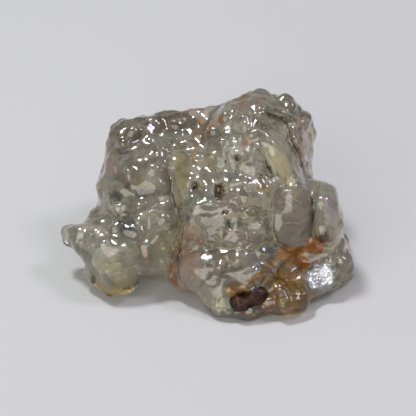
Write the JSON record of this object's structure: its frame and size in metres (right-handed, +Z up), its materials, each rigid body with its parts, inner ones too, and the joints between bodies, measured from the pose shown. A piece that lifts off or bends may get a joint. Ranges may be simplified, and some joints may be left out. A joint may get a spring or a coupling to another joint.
{
  "type": "hyalite opal",
  "caption": "Rough nodule of clear, glassy hyalite opal with lumps, pits, an orange iron stain and an embedded grain of dark ironstone; it rests on small flats.",
  "frame": {"origin": "middle of the stone's box at the surface that it rests on", "axes": "+X across the stone's width to the right of its show face, +Y back from the show face, +Z up"},
  "size_m": [0.03, 0.0214, 0.0168],
  "materials": {
    "opal": "glassy clear opal, faintly milky, olive to pinkish grey, with orange-brown iron stain",
    "ironstone": "dark red-brown, semi-gloss, uneven"
  },
  "bodies": {
    "root": {"opal": "opal", "ironstone_grain": "ironstone"}
  },
  "joints": []
}
